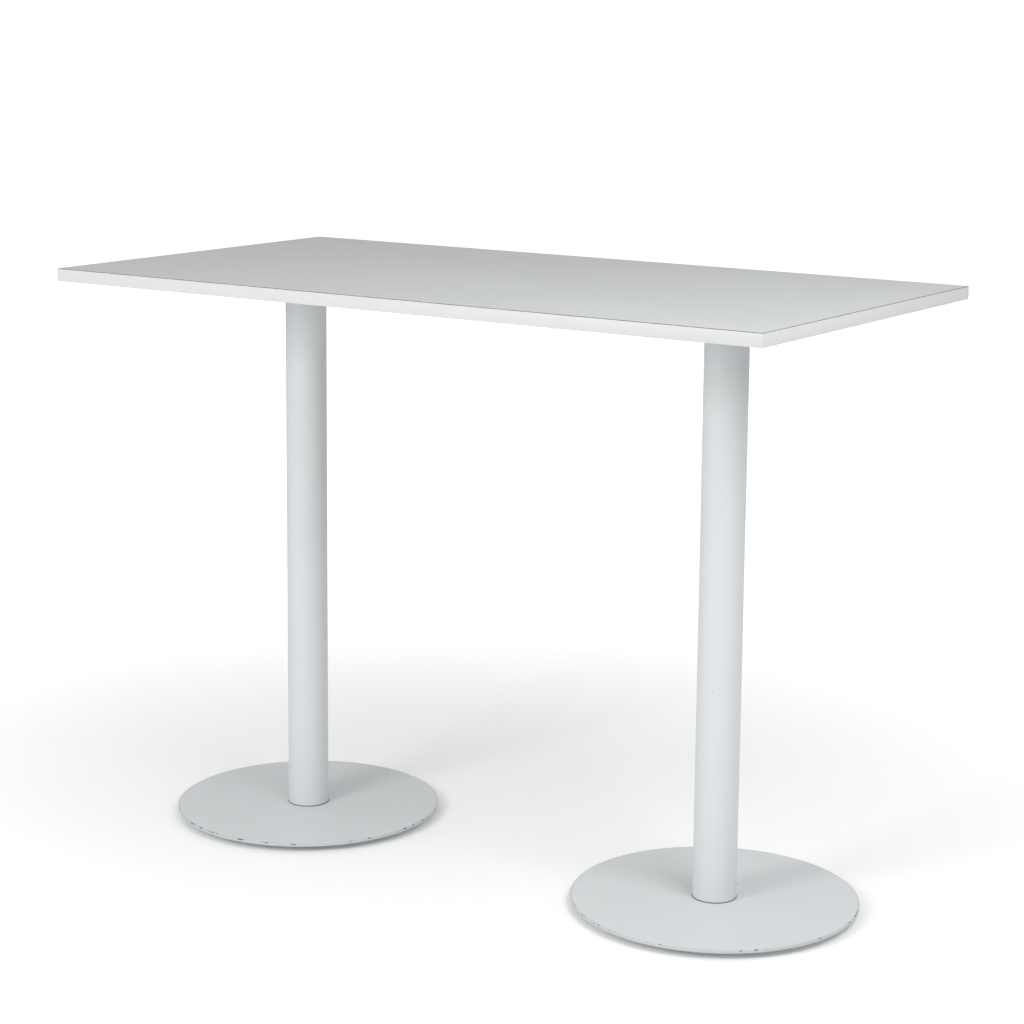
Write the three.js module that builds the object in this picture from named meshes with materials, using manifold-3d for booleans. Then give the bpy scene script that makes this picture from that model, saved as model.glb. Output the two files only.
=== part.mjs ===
// Standing meeting table: a laminated rectangular worktop on two round pedestals.
// Each pedestal is a steel tube bolted to a flat steel disc that stands on four levelling feet.
// Millimetres, +Z up, +X along the worktop, origin on the floor under the middle of the worktop.
import * as THREE from "three";
import { mergeVertices } from "three/addons/utils/BufferGeometryUtils.js";
import Module from "manifold-3d";

const wasm = await Module();
wasm.setup();

// Worktop
const TABLE_HEIGHT = 1120;
const TOP_LENGTH = 1500;
const TOP_DEPTH = 800;
const TOP_LAMINATE = 0.9;
const CORE_THICKNESS = 22;
const BACKING_LAMINATE = 0.9;
const EDGE_BAND = 2;

// Pedestal column
const COLUMN_SPACING = 940;
const COLUMN_DIAMETER = 80;
const COLUMN_WALL = 2;
const PLUG_THICKNESS = 10;
const GASKET_THICKNESS = 1;
const GASKET_LIP = 0.8;
const GASKET_BORE = 40;

// Base disc
const DISC_DIAMETER = 525;
const DISC_THICKNESS = 6;
const DISC_EDGE_RADIUS = 1;

// Bolt that pulls the column down on the disc
const BOLT_DIAMETER = 12;
const BOLT_HEAD_FLATS = 19;
const BOLT_HEAD_HEIGHT = 6;
const WASHER_DIAMETER = 37;
const WASHER_THICKNESS = 2.5;

// Plate that carries the worktop, and its wood screws
const PLATE_SIDE = 320;
const PLATE_THICKNESS = 5;
const PLATE_CORNER_RADIUS = 20;
const SCREW_INSET = 30;
const SCREW_ROWS = 2;
const SCREW_COLUMNS = 3;
const SCREW_DIAMETER = 5;
const SCREW_LENGTH = 20;
const SCREW_POINT = 4;
const SCREW_HEAD_DIAMETER = 10;
const SCREW_HEAD_HEIGHT = 3;

// Levelling feet
const FOOT_COUNT = 4;
const FOOT_CIRCLE = 420;
const PAD_DIAMETER = 30;
const PAD_HEIGHT = 4.5;
const PAD_FLOOR = 1.5;
const PAD_CHAMFER = 0.8;
const STEM_DIAMETER = 8;
const STEM_HEAD_DIAMETER = 13;
const STEM_HEAD_THICKNESS = 1.5;
const STEM_HEX_FLATS = 11;
const STEM_HEX_HEIGHT = 2.5;
const STEM_NECK_DIAMETER = 7;
const STEM_REACH = 4;
const LEVEL_NUT_FLATS = 13;
const LEVEL_NUT_HEIGHT = 4;

// Clearances
const SEAT_GAP = 0.1;
const RUNNING_GAP = 0.3;
const BOLT_HOLE_CLEARANCE = 0.5;

// Facets round a full turn, by size
const LARGE_ROUND = 72;
const COLUMN_ROUND = 48;
const SMALL_ROUND = 12;
const CORNER_STEPS = 2;

// Heights, from the floor up
const FOOT_HEX_Z = PAD_HEIGHT + RUNNING_GAP;
const LEVEL_NUT_Z = FOOT_HEX_Z + STEM_HEX_HEIGHT + RUNNING_GAP;
const DISC_Z = LEVEL_NUT_Z + LEVEL_NUT_HEIGHT + SEAT_GAP;
const DISC_TOP_Z = DISC_Z + DISC_THICKNESS;
const GASKET_Z = DISC_TOP_Z + SEAT_GAP;
const COLUMN_Z = GASKET_Z + GASKET_THICKNESS + SEAT_GAP;
const TOP_LAMINATE_Z = TABLE_HEIGHT - TOP_LAMINATE;
const CORE_Z = TOP_LAMINATE_Z - SEAT_GAP - CORE_THICKNESS;
const BACKING_Z = CORE_Z - SEAT_GAP - BACKING_LAMINATE;
const PLATE_Z = BACKING_Z - SEAT_GAP - PLATE_THICKNESS;
const COLUMN_TOP_Z = PLATE_Z - SEAT_GAP;

// Radii and lengths that follow from the sizes above
const COLUMN_RADIUS = COLUMN_DIAMETER / 2;
const COLUMN_BORE_RADIUS = COLUMN_RADIUS - COLUMN_WALL;
const CORE_LENGTH = TOP_LENGTH - 2 * (EDGE_BAND + SEAT_GAP);
const CORE_DEPTH = TOP_DEPTH - 2 * (EDGE_BAND + SEAT_GAP);
const BAND_HEIGHT = TOP_LAMINATE_Z - SEAT_GAP - BACKING_Z;
const SCREW_HOLE_RADIUS = SCREW_DIAMETER / 2 + RUNNING_GAP;
const SCREW_HEAD_Z = PLATE_Z - SEAT_GAP - SCREW_HEAD_HEIGHT;
const SCREW_TIP_Z = SCREW_HEAD_Z + SCREW_HEAD_HEIGHT + SCREW_LENGTH;
const STEM_HOLE_RADIUS = STEM_DIAMETER / 2 + RUNNING_GAP;
const BOLT_HEAD_Z = DISC_Z - SEAT_GAP - WASHER_THICKNESS - SEAT_GAP - BOLT_HEAD_HEIGHT;

// Finishes
function finish(color, roughness, metalness) {
  return new THREE.MeshStandardMaterial({ color, roughness, metalness });
}
const whiteLaminate = finish(0xdfe2df, 0.45, 0);
const chipboard = finish(0xb99a6b, 0.9, 0);
const greyBacking = finish(0xcfd0cc, 0.6, 0);
const whiteEdgeBand = finish(0xeeeeec, 0.4, 0);
const whitePowderCoat = finish(0xdde2e4, 0.5, 0);
const blackRubber = finish(0x2a2624, 0.8, 0);
const zincSteel = finish(0xb4b7b8, 0.35, 0.9);
const greyNylon = finish(0x6f7274, 0.6, 0);

// A solid for cutting and joining, from a closed geometry
function toSolid(geometry) {
  const bare = geometry.clone();
  bare.deleteAttribute("normal");
  bare.deleteAttribute("uv");
  const merged = mergeVertices(bare);
  const vertProperties = merged.attributes.position.array;
  const triVerts = new Uint32Array(merged.index.array);
  return new wasm.Manifold(new wasm.Mesh({ numProp: 3, vertProperties, triVerts }));
}

// A geometry with flat normals, from a solid
function toGeometry(solid) {
  const made = solid.getMesh();
  const geometry = new THREE.BufferGeometry();
  geometry.setAttribute("position", new THREE.BufferAttribute(made.vertProperties, 3));
  geometry.setIndex(new THREE.BufferAttribute(made.triVerts, 1));
  geometry.computeVertexNormals();
  return geometry;
}

function cut(geometry, tools) {
  const left = tools.reduce((solid, tool) => solid.subtract(toSolid(tool)), toSolid(geometry));
  return toGeometry(left);
}

function join(geometries) {
  const [first, ...others] = geometries.map(toSolid);
  return toGeometry(others.reduce((solid, other) => solid.add(other), first));
}

// A block standing on z = 0
function block(length, depth, height) {
  return new THREE.BoxGeometry(length, depth, height).translate(0, 0, height / 2);
}

// A round piece turned about Z: the profile lists [radius, z] up its outside
function turned(profile, facets) {
  const points = profile.map(([radius, z]) => new THREE.Vector2(radius, z));
  return new THREE.LatheGeometry(points, facets).rotateX(Math.PI / 2);
}

function rod(radius, bottom, top, facets) {
  const profile = [
    [0, bottom],
    [radius, bottom],
    [radius, top],
    [0, top],
  ];
  return turned(profile, facets);
}

// A ring or tube: the profile goes up the outside, down the bore and closes on itself
function ring(outer, bore, bottom, top, facets) {
  const profile = [
    [bore, bottom],
    [outer, bottom],
    [outer, top],
    [bore, top],
    [bore, bottom],
  ];
  return turned(profile, facets);
}

function hexagon(flats, height) {
  const corner = flats / Math.sqrt(3);
  return new THREE.CylinderGeometry(corner, corner, height, 6).rotateX(Math.PI / 2).translate(0, 0, height / 2);
}

function roundedSquare(side, radius) {
  const half = side / 2;
  const straight = half - radius;
  const shape = new THREE.Shape();
  shape.moveTo(-straight, -half);
  shape.lineTo(straight, -half);
  shape.absarc(straight, -straight, radius, -Math.PI / 2, 0, false);
  shape.lineTo(half, straight);
  shape.absarc(straight, straight, radius, 0, Math.PI / 2, false);
  shape.lineTo(-straight, half);
  shape.absarc(-straight, straight, radius, Math.PI / 2, Math.PI, false);
  shape.lineTo(-half, -straight);
  shape.absarc(-straight, -straight, radius, Math.PI, 1.5 * Math.PI, false);
  return shape;
}

const table = new THREE.Group();

function place(parent, name, geometry, material, x = 0, y = 0, z = 0) {
  const mesh = new THREE.Mesh(geometry, material);
  mesh.name = name;
  mesh.position.set(x, y, z);
  parent.add(mesh);
}

// Places of one plate's screws, about the column axis
function screwPlaces() {
  const pitchX = (PLATE_SIDE - 2 * SCREW_INSET) / (SCREW_COLUMNS - 1);
  const pitchY = (PLATE_SIDE - 2 * SCREW_INSET) / (SCREW_ROWS - 1);
  const places = [];
  for (let row = 0; row < SCREW_ROWS; row += 1) {
    for (let column = 0; column < SCREW_COLUMNS; column += 1) {
      const x = (column - (SCREW_COLUMNS - 1) / 2) * pitchX;
      const y = (row - (SCREW_ROWS - 1) / 2) * pitchY;
      places.push([x, y]);
    }
  }
  return places;
}

// Places of one disc's feet, about the column axis, set between the table's axes
function footPlaces() {
  const radius = FOOT_CIRCLE / 2;
  const step = (2 * Math.PI) / FOOT_COUNT;
  return Array.from({ length: FOOT_COUNT }, (_, index) => {
    const angle = (index + 0.5) * step;
    return [radius * Math.cos(angle), radius * Math.sin(angle)];
  });
}

const pedestals = [
  ["left", -COLUMN_SPACING / 2],
  ["right", COLUMN_SPACING / 2],
];

// Cutters for every wood screw, in the worktop's frame
function screwHoles(bottom, top) {
  return pedestals.flatMap(([, columnX]) =>
    screwPlaces().map(([x, y]) => rod(SCREW_HOLE_RADIUS, bottom, top, SMALL_ROUND).translate(columnX + x, y, 0)),
  );
}

// Worktop: chipboard core, laminate on both faces, and an edge band on each side under the top laminate
function addWorktop() {
  const pilotDepth = SCREW_TIP_Z + RUNNING_GAP;
  const core = block(CORE_LENGTH, CORE_DEPTH, CORE_THICKNESS).translate(0, 0, CORE_Z);
  const backing = block(CORE_LENGTH, CORE_DEPTH, BACKING_LAMINATE).translate(0, 0, BACKING_Z);
  place(table, "top_laminate", block(TOP_LENGTH, TOP_DEPTH, TOP_LAMINATE), whiteLaminate, 0, 0, TOP_LAMINATE_Z);
  place(table, "core_board", cut(core, screwHoles(CORE_Z - SEAT_GAP, pilotDepth)), chipboard);
  place(table, "backing_laminate", cut(backing, screwHoles(BACKING_Z - SEAT_GAP, CORE_Z)), greyBacking);

  const longBand = block(TOP_LENGTH, EDGE_BAND, BAND_HEIGHT);
  const shortBand = block(EDGE_BAND, CORE_DEPTH, BAND_HEIGHT);
  const bandX = (TOP_LENGTH - EDGE_BAND) / 2;
  const bandY = (TOP_DEPTH - EDGE_BAND) / 2;
  place(table, "front_edge_band", longBand, whiteEdgeBand, 0, -bandY, BACKING_Z);
  place(table, "rear_edge_band", longBand, whiteEdgeBand, 0, bandY, BACKING_Z);
  place(table, "left_edge_band", shortBand, whiteEdgeBand, -bandX, 0, BACKING_Z);
  place(table, "right_edge_band", shortBand, whiteEdgeBand, bandX, 0, BACKING_Z);
}

// Quarter arc of a turned edge, from one angle to another, as [radius, z] points
function turnedArc(centreRadius, centreZ, radius, from, to) {
  return Array.from({ length: CORNER_STEPS + 1 }, (_, step) => {
    const angle = from + ((to - from) * step) / CORNER_STEPS;
    return [centreRadius + radius * Math.cos(angle), centreZ + radius * Math.sin(angle)];
  });
}

// Steel disc with eased edges, a bolt hole, and blind holes that the feet's stems run up into
function discGeometry() {
  const edge = DISC_DIAMETER / 2 - DISC_EDGE_RADIUS;
  const boltHole = BOLT_DIAMETER / 2 + BOLT_HOLE_CLEARANCE;
  const profile = [
    [boltHole, 0],
    ...turnedArc(edge, DISC_EDGE_RADIUS, DISC_EDGE_RADIUS, -Math.PI / 2, 0),
    ...turnedArc(edge, DISC_THICKNESS - DISC_EDGE_RADIUS, DISC_EDGE_RADIUS, 0, Math.PI / 2),
    [boltHole, DISC_THICKNESS],
    [boltHole, 0],
  ];
  const stemHoles = footPlaces().map(([x, y]) =>
    rod(STEM_HOLE_RADIUS, -RUNNING_GAP, STEM_REACH + RUNNING_GAP, SMALL_ROUND).translate(x, y, 0),
  );
  return cut(turned(profile, LARGE_ROUND), stemHoles);
}

// Low-head bolt, head down
function boltGeometry() {
  const shankTop = COLUMN_Z + PLUG_THICKNESS - BOLT_HEAD_Z;
  const shank = rod(BOLT_DIAMETER / 2, BOLT_HEAD_HEIGHT / 2, shankTop, SMALL_ROUND);
  return join([hexagon(BOLT_HEAD_FLATS, BOLT_HEAD_HEIGHT), shank]);
}

// Pan-head wood screw, head down and point up
function screwGeometry() {
  const head = SCREW_HEAD_DIAMETER / 2;
  const shank = SCREW_DIAMETER / 2;
  const tip = SCREW_HEAD_HEIGHT + SCREW_LENGTH;
  const profile = [
    [0, 0],
    [head * 0.7, SCREW_HEAD_HEIGHT * 0.12],
    [head, SCREW_HEAD_HEIGHT * 0.6],
    [head, SCREW_HEAD_HEIGHT],
    [shank, SCREW_HEAD_HEIGHT],
    [shank, tip - SCREW_POINT],
    [0, tip],
  ];
  return turned(profile, SMALL_ROUND);
}

// Plate with rounded corners and a hole for each screw
function plateGeometry() {
  const settings = { depth: PLATE_THICKNESS, bevelEnabled: false, curveSegments: 2 * CORNER_STEPS };
  const plate = new THREE.ExtrudeGeometry(roundedSquare(PLATE_SIDE, PLATE_CORNER_RADIUS), settings);
  const holes = screwPlaces().map(([x, y]) =>
    rod(SCREW_DIAMETER / 2 + BOLT_HOLE_CLEARANCE, -SEAT_GAP, PLATE_THICKNESS + SEAT_GAP, SMALL_ROUND).translate(x, y, 0),
  );
  return cut(plate, holes);
}

// Nylon pad with a pocket that traps the stem's head and lets it turn
function padGeometry() {
  const outer = PAD_DIAMETER / 2;
  const pocket = STEM_HEAD_DIAMETER / 2 + RUNNING_GAP;
  const mouth = STEM_NECK_DIAMETER / 2 + RUNNING_GAP;
  const pocketTop = PAD_FLOOR + STEM_HEAD_THICKNESS + 2 * RUNNING_GAP;
  const profile = [
    [0, 0],
    [outer - PAD_CHAMFER, 0],
    [outer, PAD_CHAMFER],
    [outer, PAD_HEIGHT - PAD_CHAMFER],
    [outer - PAD_CHAMFER, PAD_HEIGHT],
    [mouth, PAD_HEIGHT],
    [mouth, pocketTop],
    [pocket, pocketTop],
    [pocket, PAD_FLOOR],
    [0, PAD_FLOOR],
  ];
  return turned(profile, SMALL_ROUND);
}

// Stem from its head in the pad, through a neck and a hexagon for a spanner, up the threaded shank
function stemGeometry() {
  const headZ = PAD_FLOOR + RUNNING_GAP;
  const headTop = headZ + STEM_HEAD_THICKNESS;
  const shankTop = DISC_Z + STEM_REACH;
  const head = rod(STEM_HEAD_DIAMETER / 2, headZ, headTop, SMALL_ROUND);
  const hexMiddle = FOOT_HEX_Z + STEM_HEX_HEIGHT / 2;
  const neck = rod(STEM_NECK_DIAMETER / 2, (headZ + headTop) / 2, hexMiddle, SMALL_ROUND);
  const hex = hexagon(STEM_HEX_FLATS, STEM_HEX_HEIGHT).translate(0, 0, FOOT_HEX_Z);
  const shank = rod(STEM_DIAMETER / 2, hexMiddle, shankTop, SMALL_ROUND);
  return join([head, neck, hex, shank]);
}

function levelNutGeometry() {
  const hole = rod(STEM_HOLE_RADIUS, -SEAT_GAP, LEVEL_NUT_HEIGHT + SEAT_GAP, SMALL_ROUND);
  return cut(hexagon(LEVEL_NUT_FLATS, LEVEL_NUT_HEIGHT), [hole]);
}

function addLevellingFeet(pedestal, side) {
  const nut = levelNutGeometry();
  const stem = stemGeometry();
  const pad = padGeometry();
  footPlaces().forEach(([x, y], index) => {
    const number = index + 1;
    place(pedestal, `${side}_level_nut_${number}`, nut, whitePowderCoat, x, y, LEVEL_NUT_Z);
    place(pedestal, `${side}_level_stem_${number}`, stem, zincSteel, x, y);
    place(pedestal, `${side}_level_pad_${number}`, pad, greyNylon, x, y);
  });
}

// Disc, gasket, column with its welded plug and plate, and the bolt from below
function addColumn(pedestal, side) {
  const gasket = ring(COLUMN_RADIUS + GASKET_LIP, GASKET_BORE / 2, 0, GASKET_THICKNESS, COLUMN_ROUND);
  const tube = ring(COLUMN_RADIUS, COLUMN_BORE_RADIUS, 0, COLUMN_TOP_Z - COLUMN_Z, COLUMN_ROUND);
  const plugHole = BOLT_DIAMETER / 2 + RUNNING_GAP;
  const plug = ring(COLUMN_BORE_RADIUS - RUNNING_GAP, plugHole, 0, PLUG_THICKNESS, COLUMN_ROUND);
  const washerHole = BOLT_DIAMETER / 2 + BOLT_HOLE_CLEARANCE;
  const washer = ring(WASHER_DIAMETER / 2, washerHole, 0, WASHER_THICKNESS, 2 * SMALL_ROUND);
  place(pedestal, `${side}_base_disc`, discGeometry(), whitePowderCoat, 0, 0, DISC_Z);
  place(pedestal, `${side}_foot_gasket`, gasket, blackRubber, 0, 0, GASKET_Z);
  place(pedestal, `${side}_column_tube`, tube, whitePowderCoat, 0, 0, COLUMN_Z);
  place(pedestal, `${side}_foot_plug`, plug, zincSteel, 0, 0, COLUMN_Z);
  place(pedestal, `${side}_base_washer`, washer, zincSteel, 0, 0, DISC_Z - SEAT_GAP - WASHER_THICKNESS);
  place(pedestal, `${side}_base_bolt`, boltGeometry(), zincSteel, 0, 0, BOLT_HEAD_Z);
  place(pedestal, `${side}_top_plate`, plateGeometry(), whitePowderCoat, 0, 0, PLATE_Z);
}

function addPlateScrews(pedestal, side) {
  const screw = screwGeometry();
  screwPlaces().forEach(([x, y], index) => {
    place(pedestal, `${side}_plate_screw_${index + 1}`, screw, zincSteel, x, y, SCREW_HEAD_Z);
  });
}

addWorktop();
for (const [side, columnX] of pedestals) {
  const pedestal = new THREE.Group();
  pedestal.position.x = columnX;
  addColumn(pedestal, side);
  addLevellingFeet(pedestal, side);
  addPlateScrews(pedestal, side);
  table.add(pedestal);
}

export default table;
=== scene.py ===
"""Standing meeting table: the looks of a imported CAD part, laid out as an add-on.

Metres, +Z up, +X along the worktop, origin on the floor under the middle of the worktop.
"""

import math

import bpy
import numpy as np
from bpy.props import FloatProperty, FloatVectorProperty, IntProperty, PointerProperty
from mathutils import Matrix, Vector


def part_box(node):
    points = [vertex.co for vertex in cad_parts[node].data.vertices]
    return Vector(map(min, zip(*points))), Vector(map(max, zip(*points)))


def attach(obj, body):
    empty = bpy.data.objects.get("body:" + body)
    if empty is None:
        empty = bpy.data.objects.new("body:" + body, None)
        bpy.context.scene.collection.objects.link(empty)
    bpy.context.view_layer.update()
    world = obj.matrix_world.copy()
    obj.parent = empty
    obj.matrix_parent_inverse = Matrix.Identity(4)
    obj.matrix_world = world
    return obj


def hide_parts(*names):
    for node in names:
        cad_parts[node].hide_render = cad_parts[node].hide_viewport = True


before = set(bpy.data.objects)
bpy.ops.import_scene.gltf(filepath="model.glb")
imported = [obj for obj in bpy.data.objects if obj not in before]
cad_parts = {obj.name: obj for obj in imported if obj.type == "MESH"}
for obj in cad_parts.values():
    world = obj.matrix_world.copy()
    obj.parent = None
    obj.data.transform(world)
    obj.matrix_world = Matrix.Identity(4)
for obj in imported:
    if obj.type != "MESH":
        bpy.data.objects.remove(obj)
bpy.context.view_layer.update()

bl_info = {
    "name": "Standing meeting table",
    "version": (1, 0, 0),
    "blender": (4, 5, 0),
    "location": "View3D > Sidebar > Table",
    "description": "Builds a standing meeting table with disc bases and levelling feet",
    "category": "Add Mesh",
}

MM = 0.001
SIDES = ("left", "right")
FEET = (1, 2, 3, 4)
PLATE_SCREWS = (1, 2, 3, 4, 5, 6)

# Edges that turn by more than this are shaded sharp
SHARP_ANGLE = math.radians(40)

# Facets round a screw, bolt, washer, nut or stem, round a pad, and round the studio floor
SMALL_FACETS = 72
PAD_FACETS = 64
FLOOR_FACETS = 96

# Radius where a hexagon's chamfer starts, as a share of its width over the flats
CHAMFER_START = 0.47

# Pocket in a disc over each stem: its depth, and the places of close rings and facets in pocket radii
POCKET_DEPTH = 4.35 * MM
POCKET_GRID = np.linspace(-1.5, 1.5, 19)

# Scuffs low on the columns: height over the column's foot, half length, direction and half width
SCUFFS = {
    "left": (70 * MM, 20 * MM, math.radians(27), math.radians(9)),
    "right": (24 * MM, 8 * MM, math.radians(18), math.radians(8)),
}

# How badly the scuffs wear the paint, how fast they fade over their half length, and the rings across one
SCUFF_DEPTH = 0.95
SCUFF_FADE = 0.6
SCUFF_RINGS = 13

# Wear all over a disc's rim, and how far its chips reach down the rim and in over the top
RIM_WEAR = 0.3
CHIP_REACH = 3.4 * MM
CHIP_INSET = 2.5 * MM

# Chipped stretches of each disc's upper edge: angle and half width in degrees, and how badly
CHIPPED_RIM = {
    "left": (
        (248, 3, 0.85),
        (255, 2, 0.9),
        (262, 7, 0.78),
        (278, 2.5, 0.95),
        (290, 5, 0.7),
        (302, 2.5, 1.0),
        (326, 1, 0.8),
        (335, 1.5, 0.95),
        (354, 2, 0.9),
        (0, 1.5, 1.0),
        (7, 4, 0.75),
        (24, 6, 0.65),
        (108, 1, 0.9),
        (148, 1, 0.9),
    ),
    "right": (
        (205, 5, 0.8),
        (225, 4, 0.75),
        (236, 3, 0.95),
        (245, 1, 1.0),
        (248, 1, 0.85),
        (254, 1, 0.85),
        (264, 1, 0.85),
        (278, 1, 0.8),
        (309, 1, 0.85),
        (315, 1, 1.0),
        (319, 3, 0.75),
        (344, 1.5, 0.9),
        (5, 1.5, 0.95),
        (15, 7, 0.8),
        (45, 1, 0.85),
        (56, 1, 0.85),
        (140, 6, 0.7),
    ),
}

# Width of the camera's sensor in millimetres, and the distance that it sees to
SENSOR_WIDTH = 36.0
FAR_CLIP = 200.0


# Settings


def length(name, description, default):
    return FloatProperty(name=name, description=description, default=default, unit="LENGTH", precision=5)


def colour(name, description, default):
    return FloatVectorProperty(
        name=name, description=description, default=default, subtype="COLOR", size=3, min=0.0, max=1.0
    )


def angle(name, description, degrees):
    return FloatProperty(name=name, description=description, default=math.radians(degrees), subtype="ANGLE")


def place(name, description, default):
    return FloatVectorProperty(name=name, description=description, default=default, subtype="TRANSLATION")


def power(name, description, default):
    return FloatProperty(name=name, description=description, default=default, unit="POWER", min=0.0)


def strength(name, description, default):
    return FloatProperty(name=name, description=description, default=default, min=0.0)


class TableShape(bpy.types.PropertyGroup):
    """Edge radii, bores and facet counts of the pieces"""

    top_corner: length("Top corner", "Radius of the worktop's upright corners", 1.2 * MM)
    laminate_arris: length("Laminate arris", "Radius along the top laminate's upper edge", 0.25 * MM)
    band_arris: length("Band arris", "Radius along the edge bands' lower edges", 0.45 * MM)
    plate_corner: length("Plate corner", "Corner radius of the plates under the worktop", 20 * MM)
    plate_ease: length("Plate ease", "Radius along the plates' edges", 0.6 * MM)
    column_wall: length("Column wall", "Wall of the column tubes", 2.0 * MM)
    column_ease: length("Column ease", "Radius round the columns' lower ends", 0.5 * MM)
    weld_leg: length("Weld leg", "Height and width of the weld between column and plate", 3.5 * MM)
    disc_ease: length("Disc ease", "Radius along the base discs' rims", 1.0 * MM)
    bolt_hole: length("Bolt hole", "Diameter of the hole through disc and washer", 13.0 * MM)
    stem_pocket: length("Stem pocket", "Radius of the pocket in the disc over each stem", 4.6 * MM)
    gasket_bore: length("Gasket bore", "Diameter of the hole in the gaskets", 40.0 * MM)
    facets: IntProperty(name="Facets", description="Facets round a column", default=128, min=24)
    disc_facets: IntProperty(name="Disc facets", description="Facets round a disc", default=576, min=48)


class TableFinish(bpy.types.PropertyGroup):
    """Colours of the finishes"""

    laminate: colour("Laminate", "Face of the worktop", (0.588, 0.613, 0.598))
    core: colour("Laminate core", "Brown core that shows along the worktop's edge", (0.045, 0.030, 0.022))
    worn_core: colour("Worn core", "Scuffed stretches of the laminate's core", (0.520, 0.470, 0.420))
    band: colour("Edge band", "Edge bands", (0.687, 0.693, 0.688))
    grime: colour("Grime", "Dirt on laminate and edge bands", (0.100, 0.075, 0.055))
    paint: colour("Powder coat", "Columns, discs, plates and nuts", (0.690, 0.720, 0.732))
    # Blue grey that darkens the disc rims: dirt, and painted shade for the rims' sides
    soil: colour("Soiled and shaded paint", "Dirt on the rims of the discs", (0.360, 0.400, 0.420))
    chip: colour("Chipped paint", "Bare steel and dirt where the paint is chipped", (0.055, 0.035, 0.023))
    backing: colour("Backing", "Laminate under the worktop", (0.560, 0.570, 0.545))
    chipboard: colour("Chipboard", "Core of the worktop", (0.420, 0.270, 0.130))
    rubber: colour("Rubber", "Ring under each column", (0.100, 0.076, 0.064))
    dust: colour("Dust", "Dust on the rings under the columns", (0.220, 0.190, 0.170))
    zinc: colour("Zinc", "Plated screws, bolts and stems", (0.500, 0.510, 0.520))
    nylon: colour("Nylon", "Pads of the levelling feet", (0.130, 0.135, 0.140))
    scuffed_nylon: colour("Scuffed nylon", "Scuffs on the pads", (0.260, 0.260, 0.260))


class TableStage(bpy.types.PropertyGroup):
    """Camera and studio light"""

    lens: FloatProperty(name="Lens", description="Focal length in millimetres", default=86.150, unit="CAMERA")
    shift: FloatProperty(name="Shift", description="Vertical shift, as a share of the frame", default=-0.1)
    eye: place("Camera", "Place of the camera", (2.5112, -3.7649, 1.6300))
    yaw: angle("Yaw", "Turn of the camera from +Y", 33.5145)
    pitch: angle("Pitch", "Tilt below the horizon", 9.5272)
    roll: angle("Roll", "Roll about the line of sight", 0.5)
    sky: strength("Sky", "Strength of the white light from all round", 0.63)
    floor_glow: strength("Floor glow", "How much the far floor is whitened for the camera", 0.62)
    near_glow: strength("Near glow", "Share of that glow on the floor near the table", 0.15)
    near_end: length("Near end", "Distance from the table's middle where the near floor ends", 0.5)
    far_start: length("Far start", "Distance from the table's middle where the far floor starts", 2.6)
    key: power("Key light", "Power of the light in front", 41.7)
    key_place: place("Key place", "Place of the light in front", (-0.6, -3.1, 1.85))
    key_width: length("Key width", "Width of the light in front", 1.2)
    fill: power("Fill light", "Power of the light on the right", 28.0)
    fill_place: place("Fill place", "Place of the light on the right", (2.0, -0.65, 2.4))
    fill_width: length("Fill width", "Width of the light on the right", 1.5)
    aim: place("Aim", "Point that both lights shine on", (0.0, 0.0, 0.7))
    floor: colour("Floor", "Pale studio floor", (0.970, 0.970, 0.970))
    far_floor: colour("Far floor", "Studio floor away from the table", (0.800, 0.800, 0.800))


# Shader maths


class Wire:
    """One socket of a material's node tree; arithmetic on wires adds Math nodes."""

    def __init__(self, tree, socket=None):
        self.tree = tree
        self.socket = socket

    def node(self, kind, settings=None, inputs=None, output=0):
        """Adds a node, with its settings first and then its inputs' values or links, and gives one output."""
        made = self.tree.nodes.new(kind)
        for key, value in (settings or {}).items():
            setattr(made, key, value)
        for key, value in (inputs or {}).items():
            if isinstance(value, Wire):
                self.tree.links.new(value.socket, made.inputs[key])
            else:
                made.inputs[key].default_value = value
        return Wire(self.tree, made.outputs[output])

    def math(self, operation, first, second):
        return self.node("ShaderNodeMath", {"operation": operation}, {0: first, 1: second})

    def __add__(self, other):
        return self.math("ADD", self, other)

    __radd__ = __add__

    def __sub__(self, other):
        return self.math("SUBTRACT", self, other)

    def __rsub__(self, other):
        return self.math("SUBTRACT", other, self)

    def __mul__(self, other):
        return self.math("MULTIPLY", self, other)

    __rmul__ = __mul__

    def __truediv__(self, other):
        return self.math("DIVIDE", self, other)

    def step(self, low, high):
        """0 below low, 1 above high, and a smooth rise between them."""
        sockets = {"Value": self, "From Min": low, "From Max": high, "To Min": 0.0, "To Max": 1.0}
        return self.node("ShaderNodeMapRange", {"interpolation_type": "SMOOTHSTEP"}, sockets)

    def near(self, value, reach):
        """1 where this wire equals value, falling smoothly to 0 at reach on either side."""
        return 1 - self.math("ABSOLUTE", self - value, 0.0).step(0.0, reach)

    def blend(self, first, second):
        """first where this wire is 0 and second where it is 1, as colours."""
        first = first if isinstance(first, Wire) else (*first, 1.0)
        second = second if isinstance(second, Wire) else (*second, 1.0)
        settings = {"data_type": "RGBA", "clamp_factor": True}
        return self.node("ShaderNodeMix", settings, {0: self, 6: first, 7: second}, output=2)

    def shade(self, tint, spread):
        """tint times 1 - spread to 1 + spread, as this wire goes from 0 to 1."""
        dark = tuple(channel * (1.0 - spread) for channel in tint)
        light = tuple(min(1.0, channel * (1.0 + spread)) for channel in tint)
        return self.blend(dark, light)


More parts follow.
